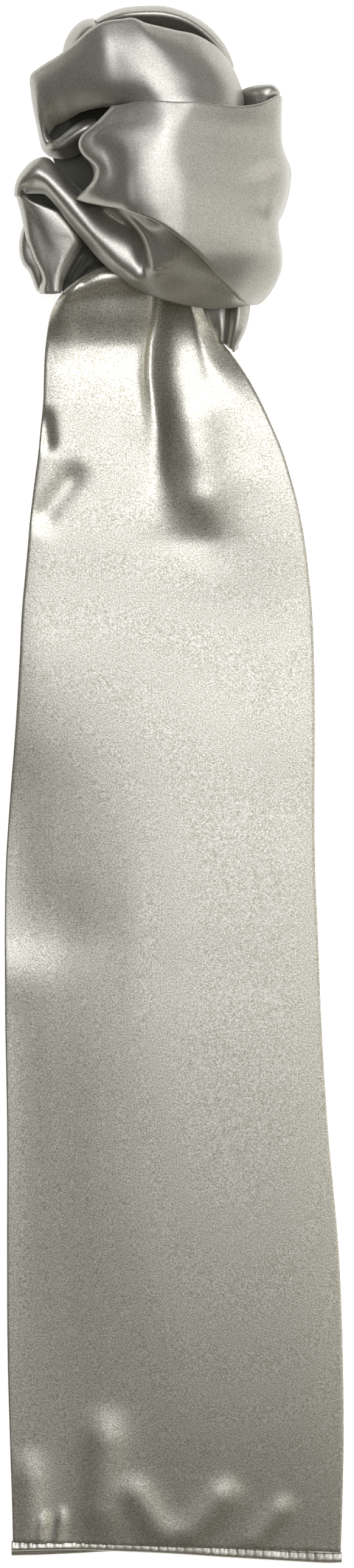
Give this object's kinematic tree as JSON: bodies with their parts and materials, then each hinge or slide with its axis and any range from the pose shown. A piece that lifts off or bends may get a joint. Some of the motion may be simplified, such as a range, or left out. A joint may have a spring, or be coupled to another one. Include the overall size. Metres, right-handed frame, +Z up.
{
  "type": "satin scarf",
  "caption": "Satin tube scarf lying flat, its upper part wound into one big loose knot and its lower part a long flat tail with a stitched hem.",
  "frame": {"origin": "centre of the underside of the bounding box, on the surface the scarf lies on", "axes": "+Y along the scarf from the tail's hem to the knot, +X to the right across it seen from above, +Z up"},
  "size_m": [0.165, 0.7494, 0.0663],
  "materials": {
    "satin": "satin",
    "hem": "satin"
  },
  "bodies": {
    "root": {"front_wrap": "satin", "sash": "satin", "crown": "satin", "crown_curl": "satin", "rear_rim": "satin", "back_lobe": "satin", "mouth_wall": "satin", "fan": "satin", "fan_back": "satin", "hood_inside": "satin", "inner_fold": "satin", "lower_fold": "satin", "under_layer": "satin", "under_loop": "satin", "tail_front": "satin", "tail_back": "satin", "hem_front": "hem", "hem_back": "hem", "core": "satin"}
  },
  "joints": []
}
